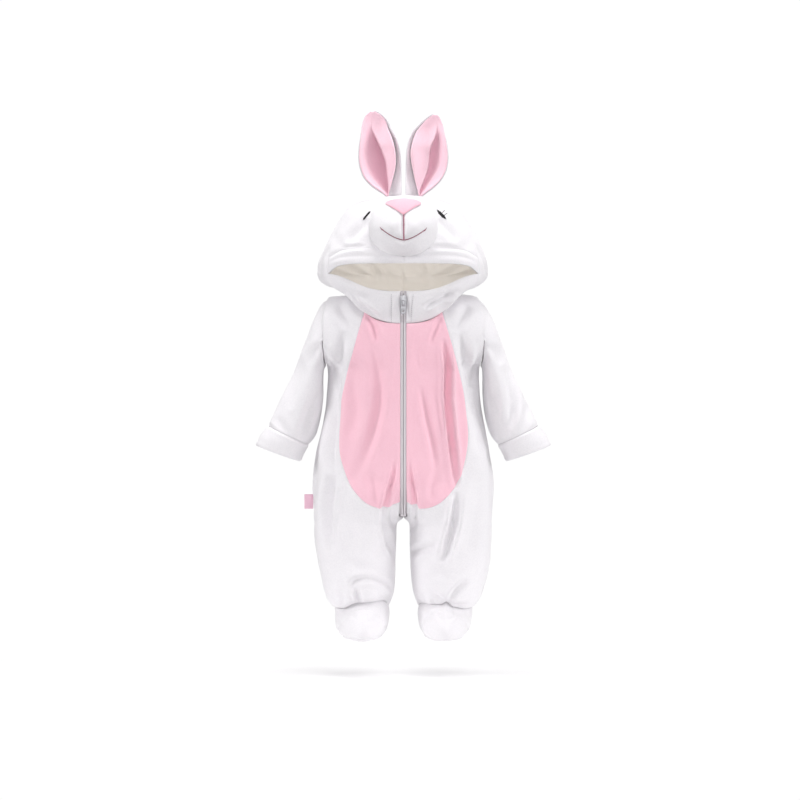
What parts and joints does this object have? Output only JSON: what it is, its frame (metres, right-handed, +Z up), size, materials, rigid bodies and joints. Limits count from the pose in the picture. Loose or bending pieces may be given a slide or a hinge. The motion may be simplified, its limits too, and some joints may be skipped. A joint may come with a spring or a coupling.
{
  "type": "sleepsuit",
  "caption": "Baby's hooded rabbit sleepsuit with feet, in white and rose fleece: front zip, long sleeves with cuffs, stuffed muzzle and upright ears.",
  "frame": {"origin": "middle of the shoulders, inside the hollow body, on the suit's plane of symmetry", "axes": "the suit's front faces -Y, +Z is up along the body, and +X is to the right as seen from the front"},
  "size_m": [0.4458, 0.2162, 0.7956],
  "materials": {
    "white_fleece": "soft white brushed fleece",
    "rose_fleece": "soft light rose brushed fleece",
    "cream_lining": "soft cream lining cloth",
    "zip_tape": "woven tape",
    "zip_teeth": "moulded grey coil",
    "zip_metal": "satin grey metal"
  },
  "bodies": {
    "suit": {"back": "white_fleece", "front_left": "white_fleece", "front_right": "white_fleece", "sleeve_left": "white_fleece", "sleeve_right": "white_fleece", "cuff_left": "white_fleece", "cuff_right": "white_fleece", "foot_left": "white_fleece", "foot_right": "white_fleece", "toe_cap_left": "white_fleece", "toe_cap_right": "white_fleece", "sole_left": "white_fleece", "sole_right": "white_fleece", "hood_left": "white_fleece", "hood_right": "white_fleece", "brim_left": "white_fleece", "brim_right": "white_fleece", "muzzle": "white_fleece", "ear_back_left": "white_fleece", "ear_back_right": "white_fleece", "tummy_left": "rose_fleece", "tummy_right": "rose_fleece", "nose": "rose_fleece", "ear_front_left": "rose_fleece", "ear_front_right": "rose_fleece", "side_label": "rose_fleece", "hood_lining_left": "cream_lining", "hood_lining_right": "cream_lining", "zip_tape_left": "zip_tape", "zip_tape_right": "zip_tape", "zip_strand_left": "zip_teeth", "zip_strand_right": "zip_teeth", "zip_stop": "zip_teeth", "zip_slider": "zip_metal"},
    "pull_tab": {"zip_pull": "zip_metal"}
  },
  "joints": [
    {"name": "pull_tab_swing", "type": "hinge", "parent": "suit", "child": "pull_tab", "pos_m": [0, -0.06789, 0.00349], "axis": [-1, 0, 0], "range_deg": [0, 170]}
  ]
}
